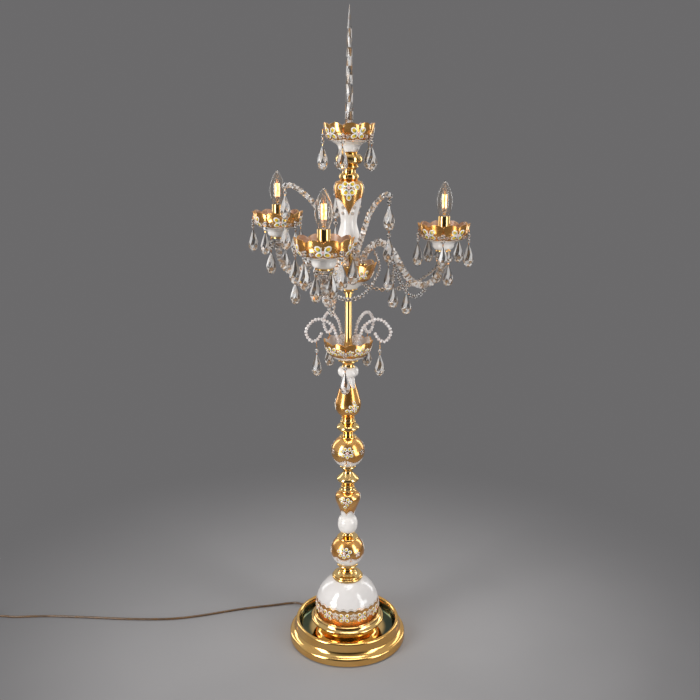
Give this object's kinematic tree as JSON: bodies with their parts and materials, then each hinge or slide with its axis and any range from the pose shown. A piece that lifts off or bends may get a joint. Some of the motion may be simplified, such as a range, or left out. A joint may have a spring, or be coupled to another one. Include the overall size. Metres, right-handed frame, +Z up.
{
  "type": "crystal floor lamp",
  "caption": "Floor lamp with twisted glass arms, candle bulbs, scalloped gilt glass cups, hanging crystal drops and a cut spire on a brass base",
  "frame": {"origin": "on the floor under the middle of the base", "axes": "+Z up along the column; -Y faces the front of the lamp; +X to the right seen from the front"},
  "size_m": [1.2841, 0.4835, 1.4102],
  "materials": {
    "felt": "felt, dark green",
    "cast_iron": "as cast",
    "steel": "zinc plated",
    "brass": "polished and lacquered",
    "opal_glass": "glossy opal glass with a gilt, flowered band",
    "gilt_glass": "opal glass with warm gold lustre and raised white enamel flowers",
    "clear_glass": "clear, polished",
    "pearl_glass": "clear with a pearly sheen",
    "cord": "translucent gold-brown",
    "moulding": "moulded, brown"
  },
  "bodies": {
    "root": {"felt_pad": "felt", "ballast_ring": "cast_iron", "tube_nut": "steel", "stem_tube": "steel", "base_cover": "brass", "base_shell": "brass", "dome_seat": "brass", "dome_collar": "brass", "neck_lower": "brass", "knop_lower": "brass", "knop_upper": "brass", "cup_neck": "brass", "rod": "brass", "hub_ferrule": "brass", "hub_body": "brass", "top_knop": "brass", "spire_socket": "brass", "gallery_front": "brass", "gallery_right": "brass", "gallery_left": "brass", "candle_sleeve_front": "brass", "candle_sleeve_right": "brass", "candle_sleeve_left": "brass", "glass_dome": "opal_glass", "ball_lower": "gilt_glass", "vase_lower": "gilt_glass", "ball_upper": "gilt_glass", "baluster": "gilt_glass", "mid_cup": "gilt_glass", "hub_cup": "gilt_glass", "hub_vase": "gilt_glass", "top_cup": "gilt_glass", "candle_cup_front": "gilt_glass", "candle_cup_right": "gilt_glass", "candle_cup_left": "gilt_glass", "arm_front": "clear_glass", "arm_right": "clear_glass", "arm_left": "clear_glass", "upper_cane_1": "clear_glass", "upper_cane_2": "clear_glass", "upper_cane_3": "clear_glass", "spire": "clear_glass", "lower_cane_1": "pearl_glass", "lower_cane_2": "pearl_glass", "lower_cane_3": "pearl_glass", "lower_cane_4": "pearl_glass", "cord_run": "cord", "cord_coil": "cord", "cord_gland": "moulding", "switch_body": "moulding", "plug": "moulding"},
    "bulb_front": {"bulb_front": "clear_glass"},
    "bulb_right": {"bulb_right": "clear_glass"},
    "bulb_left": {"bulb_left": "clear_glass"},
    "top_pendant_1": {"top_pendant_1": "clear_glass"},
    "top_pendant_2": {"top_pendant_2": "clear_glass"},
    "top_pendant_3": {"top_pendant_3": "clear_glass"},
    "top_pendant_4": {"top_pendant_4": "clear_glass"},
    "top_pendant_5": {"top_pendant_5": "clear_glass"},
    "switch_button": {"switch_button": "brass"}
  },
  "joints": [
    {"name": "unscrew_bulb_front", "type": "slide", "parent": "root", "child": "bulb_front", "axis": [0, 0, 1], "range_m": [0, 0.03]},
    {"name": "unscrew_bulb_right", "type": "slide", "parent": "root", "child": "bulb_right", "axis": [0, 0, 1], "range_m": [0, 0.03]},
    {"name": "unscrew_bulb_left", "type": "slide", "parent": "root", "child": "bulb_left", "axis": [0, 0, 1], "range_m": [0, 0.03]},
    {"name": "swing_top_pendant_1", "type": "hinge", "parent": "root", "child": "top_pendant_1", "pos_m": [-0.01321, -0.05297, 1.1699], "axis": [-0.9703, 0.2419, 0], "range_deg": [-6, 50]},
    {"name": "swing_top_pendant_2", "type": "hinge", "parent": "root", "child": "top_pendant_2", "pos_m": [0.0463, -0.02893, 1.1699], "axis": [-0.5299, -0.848, 0], "range_deg": [-6, 50]},
    {"name": "swing_top_pendant_3", "type": "hinge", "parent": "root", "child": "top_pendant_3", "pos_m": [0.04182, 0.03509, 1.1699], "axis": [0.6428, -0.766, 0], "range_deg": [-6, 50]},
    {"name": "swing_top_pendant_4", "type": "hinge", "parent": "root", "child": "top_pendant_4", "pos_m": [-0.02045, 0.05062, 1.1699], "axis": [0.9272, 0.3746, 0], "range_deg": [-6, 50]},
    {"name": "swing_top_pendant_5", "type": "hinge", "parent": "root", "child": "top_pendant_5", "pos_m": [-0.05446, -0.00381, 1.1699], "axis": [-0.0698, 0.9976, 0], "range_deg": [-6, 50]},
    {"name": "press_switch", "type": "slide", "parent": "root", "child": "switch_button", "axis": [0, 0, -1], "range_m": [0, 0.0025], "stiffness_N_per_m": 400, "springref_m": -0.001}
  ]
}
